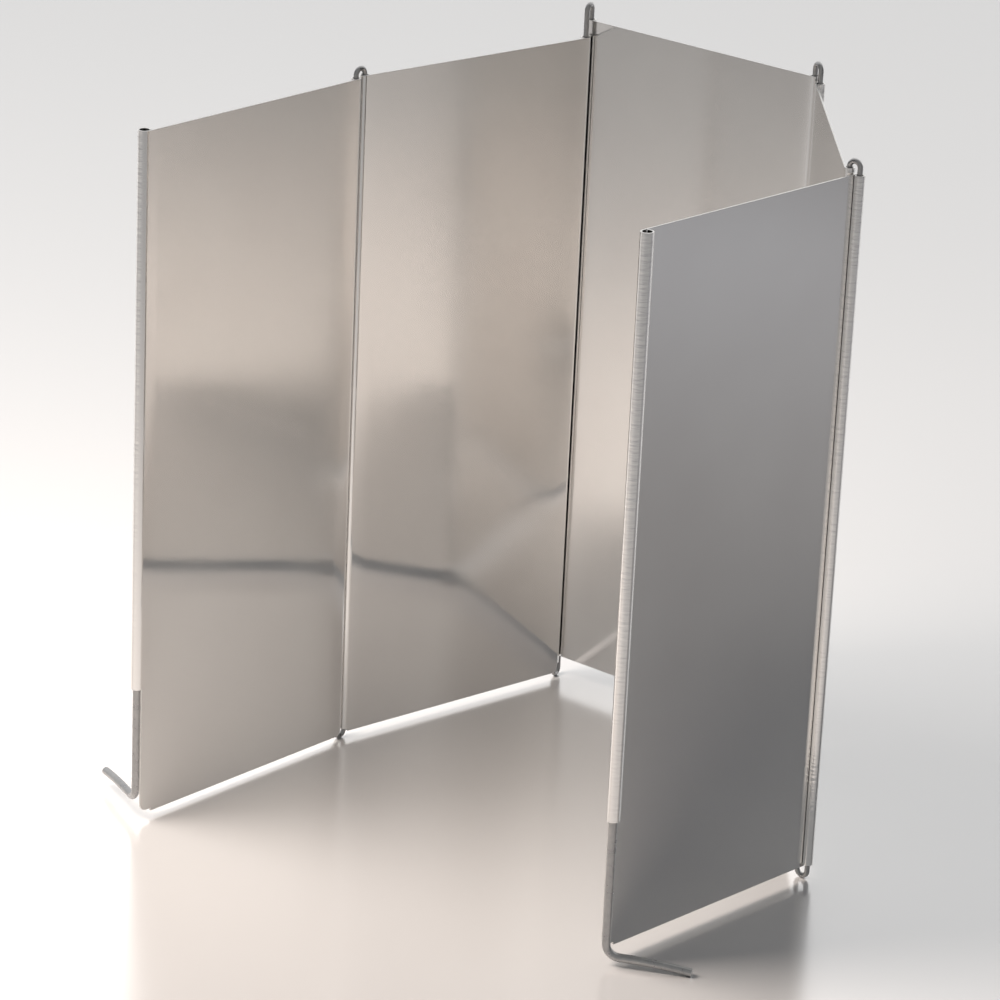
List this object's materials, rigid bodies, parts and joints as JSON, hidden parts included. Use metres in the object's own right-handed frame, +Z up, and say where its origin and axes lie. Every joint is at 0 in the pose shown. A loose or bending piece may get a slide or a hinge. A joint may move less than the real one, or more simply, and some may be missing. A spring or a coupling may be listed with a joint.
{
  "type": "folding stove windscreen",
  "caption": "Free-standing camp stove windscreen of upright sheet panels with rolled edges, hinged on loose U-shaped wire pins, with L-shaped wire pegs at the free edges",
  "frame": {"origin": "On the ground at the middle of the stove's place, inside the opened screen", "axes": "+Z up; -Y is the open front, through which the stove is reached; +X is to the right seen from the front"},
  "size_m": [0.2416, 0.2395, 0.2544],
  "materials": {
    "sheet": "bright rolled sheet with a soft gloss",
    "pin_wire": "zinc plated wire, semi-bright",
    "peg_wire": "zinc plated wire, semi-bright"
  },
  "bodies": {
    "panel_1": {"panel_1": "sheet"},
    "panel_2": {"panel_2": "sheet"},
    "panel_3": {"panel_3": "sheet"},
    "panel_4": {"panel_4": "sheet"},
    "panel_5": {"panel_5": "sheet"},
    "upper_pin_1": {"upper_pin_1": "pin_wire"},
    "upper_pin_2": {"upper_pin_2": "pin_wire"},
    "upper_pin_3": {"upper_pin_3": "pin_wire"},
    "upper_pin_4": {"upper_pin_4": "pin_wire"},
    "lower_pin_1": {"lower_pin_1": "pin_wire"},
    "lower_pin_2": {"lower_pin_2": "pin_wire"},
    "lower_pin_3": {"lower_pin_3": "pin_wire"},
    "lower_pin_4": {"lower_pin_4": "pin_wire"},
    "peg_1": {"peg_1": "peg_wire"},
    "peg_2": {"peg_2": "peg_wire"}
  },
  "joints": [
    {"name": "hinge_2_right", "type": "hinge", "parent": "panel_3", "child": "lower_pin_2", "pos_m": [0.01675, 0.1086, 0.12], "axis": [0, 0, -1], "range_deg": [-11, 193]},
    {"name": "hinge_2_left", "type": "hinge", "parent": "lower_pin_2", "child": "panel_2", "pos_m": [0.015, 0.105, 0.12], "axis": [0, 0, -1], "range_deg": [-56, 65.5]},
    {"name": "hinge_1_right", "type": "hinge", "parent": "panel_2", "child": "lower_pin_1", "pos_m": [-0.05908, 0.04394, 0.12], "axis": [0, 0, 1], "range_deg": [-96.5, 81.5]},
    {"name": "hinge_1_left", "type": "hinge", "parent": "lower_pin_1", "child": "panel_1", "pos_m": [-0.06175, 0.04096, 0.12], "axis": [0, 0, 1], "range_deg": [-88.5, 89.5]},
    {"name": "hinge_3_left", "type": "hinge", "parent": "panel_3", "child": "lower_pin_3", "pos_m": [0.09136, 0.04818, 0.12], "axis": [0, 0, -1], "range_deg": [-117, 55]},
    {"name": "hinge_3_right", "type": "hinge", "parent": "lower_pin_3", "child": "panel_4", "pos_m": [0.09299, 0.04453, 0.12], "axis": [0, 0, -1], "range_deg": [-111.5, 55]},
    {"name": "hinge_4_left", "type": "hinge", "parent": "panel_4", "child": "lower_pin_4", "pos_m": [0.09717, -0.05138, 0.12], "axis": [0, 0, 1], "range_deg": [-110, 38.5]},
    {"name": "hinge_4_right", "type": "hinge", "parent": "lower_pin_4", "child": "panel_5", "pos_m": [0.10033, -0.05384, 0.12], "axis": [0, 0, 1], "range_deg": [-15, 185]},
    {"name": "upper_pin_1_pull", "type": "slide", "parent": "lower_pin_1", "child": "upper_pin_1", "axis": [0, 0, 1], "range_m": [-0.0001, 0.038]},
    {"name": "upper_pin_2_pull", "type": "slide", "parent": "lower_pin_2", "child": "upper_pin_2", "axis": [0, 0, 1], "range_m": [-0.0033, 0.038]},
    {"name": "upper_pin_3_pull", "type": "slide", "parent": "lower_pin_3", "child": "upper_pin_3", "axis": [0, 0, 1], "range_m": [-0.0022, 0.038]},
    {"name": "upper_pin_4_pull", "type": "slide", "parent": "lower_pin_4", "child": "upper_pin_4", "axis": [0, 0, 1], "range_m": [-0.0001, 0.038]},
    {"name": "peg_1_swivel", "type": "hinge", "parent": "panel_1", "child": "peg_1", "pos_m": [-0.1257, -0.03064, 0.12], "axis": [0, 0, -1], "range_deg": [-112, 60]},
    {"name": "peg_2_swivel", "type": "hinge", "parent": "panel_5", "child": "peg_2", "pos_m": [0.03276, -0.12205, 0.12], "axis": [0, 0, -1], "range_deg": [-52, 118]}
  ]
}
